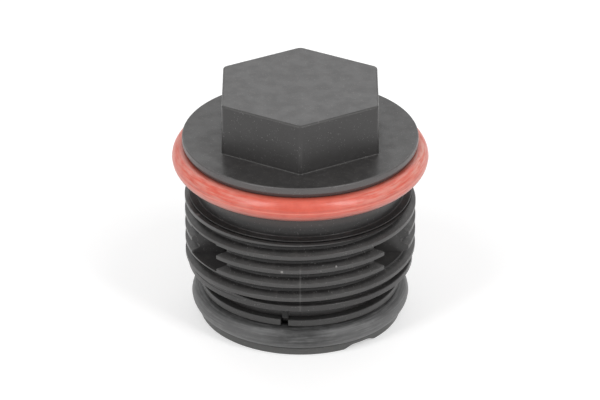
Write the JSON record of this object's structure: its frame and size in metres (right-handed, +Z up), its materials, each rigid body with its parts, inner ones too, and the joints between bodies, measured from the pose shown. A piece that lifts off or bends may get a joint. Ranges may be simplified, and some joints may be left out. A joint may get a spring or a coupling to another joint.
{
  "type": "coolant reservoir cap",
  "caption": "Screw-in pressure cap for a coolant tank: hexagon head, flange, threaded vented body, two seal rings, sprung pressure and vacuum valves.",
  "frame": {"origin": "centre of the lower lip, on the face that the cap stands on", "axes": "+Z up along the thread's axis, towards the hexagon's top; -Y faces the viewer of the picture, with a corner of the hexagon on it; +X to the viewer's right"},
  "size_m": [0.0496, 0.0496, 0.0482],
  "materials": {
    "body_nylon": "fine satin, moulded",
    "red_silicone": "soft sheen, slightly chalky",
    "housing_nylon": "fine satin, moulded",
    "black_rubber": "matt with a grey bloom",
    "valve_plastic": "smooth satin",
    "spring_steel": "drawn wire",
    "turned_brass": "turned, a little dull",
    "clip_steel": "pressed sheet"
  },
  "bodies": {
    "cap": {"cap_body": "body_nylon", "flange_seal_ring": "red_silicone", "valve_housing": "housing_nylon", "neck_seal_ring": "black_rubber", "pressure_spring": "spring_steel"},
    "pressure_valve": {"pressure_piston": "valve_plastic", "valve_gasket": "black_rubber", "vacuum_spring": "spring_steel"},
    "vacuum_valve": {"vacuum_disc": "turned_brass", "spring_clip": "clip_steel"}
  },
  "joints": [
    {"name": "pressure_lift", "type": "slide", "parent": "cap", "child": "pressure_valve", "axis": [0, 0, 1], "range_m": [0, 0.0025], "stiffness_N_per_m": 1600, "springref_m": -0.0005, "deforming": ["pressure_spring"]},
    {"name": "vacuum_drop", "type": "slide", "parent": "pressure_valve", "child": "vacuum_valve", "axis": [0, 0, -1], "range_m": [0, 0.0015], "stiffness_N_per_m": 400, "springref_m": -0.0005, "deforming": ["vacuum_spring"]}
  ]
}
